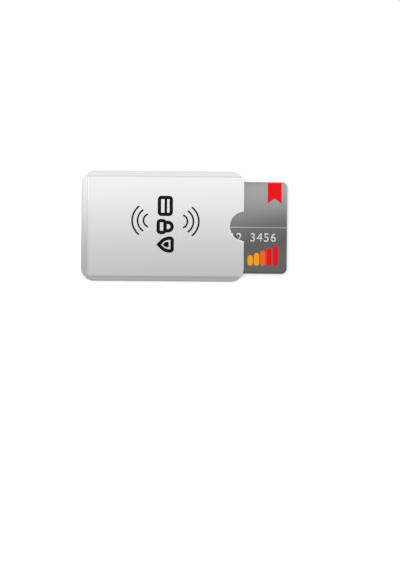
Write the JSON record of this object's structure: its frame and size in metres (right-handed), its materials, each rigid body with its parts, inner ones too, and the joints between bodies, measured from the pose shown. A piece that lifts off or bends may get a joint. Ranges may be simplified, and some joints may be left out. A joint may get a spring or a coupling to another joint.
{
  "type": "card sleeve",
  "caption": "Flat heat-sealed foil-lined card sleeve with a thumb notch at its open end and a bank card that slides in and out, to shield the card's antenna.",
  "frame": {"origin": "middle of the sleeve's flat back face", "axes": "+X out of the mouth along the sleeve, +Y across it, +Z out of the front face"},
  "size_m": [0.1214, 0.065, 0.0016],
  "materials": {
    "silver_film": "satin silver-coated polyester film",
    "aluminium_foil": "bright rolled foil",
    "paper_liner": "smooth coated paper",
    "edge_seal": "clear heat-seal polyethylene",
    "card_front": "clear gloss overlay on grey print",
    "card_sheet": "printed polyvinyl chloride sheet",
    "card_core": "white polyvinyl chloride sheet",
    "antenna_copper": "bright etched copper",
    "card_back": "clear gloss overlay on grey print",
    "gilt_contacts": "gold-plated copper",
    "chip_tape": "glass-epoxy tape",
    "hot_melt": "hot-melt adhesive tape",
    "chip_resin": "black moulding resin",
    "silicon": "polished silicon",
    "magnetic_stripe": "black magnetic coating",
    "signature_panel": "matt writable coating"
  },
  "bodies": {
    "sleeve": {"front_film": "silver_film", "front_foil": "aluminium_foil", "front_liner": "paper_liner", "back_film": "silver_film", "back_foil": "aluminium_foil", "back_liner": "paper_liner", "upper_edge_seal": "edge_seal", "lower_edge_seal": "edge_seal", "closed_end_seal": "edge_seal"},
    "card": {"card_front_overlay": "card_front", "card_front_sheet": "card_sheet", "card_inlay": "card_core", "antenna_coil": "antenna_copper", "card_back_sheet": "card_sheet", "card_back_overlay": "card_back", "chip_contacts": "gilt_contacts", "chip_carrier": "chip_tape", "chip_adhesive": "hot_melt", "chip_resin": "chip_resin", "chip_die": "silicon", "magnetic_stripe": "magnetic_stripe", "signature_panel": "signature_panel"}
  },
  "joints": [
    {"name": "card_slide", "type": "slide", "parent": "sleeve", "child": "card", "axis": [1, 0, 0], "range_m": [-0.032, 0.0612]}
  ]
}
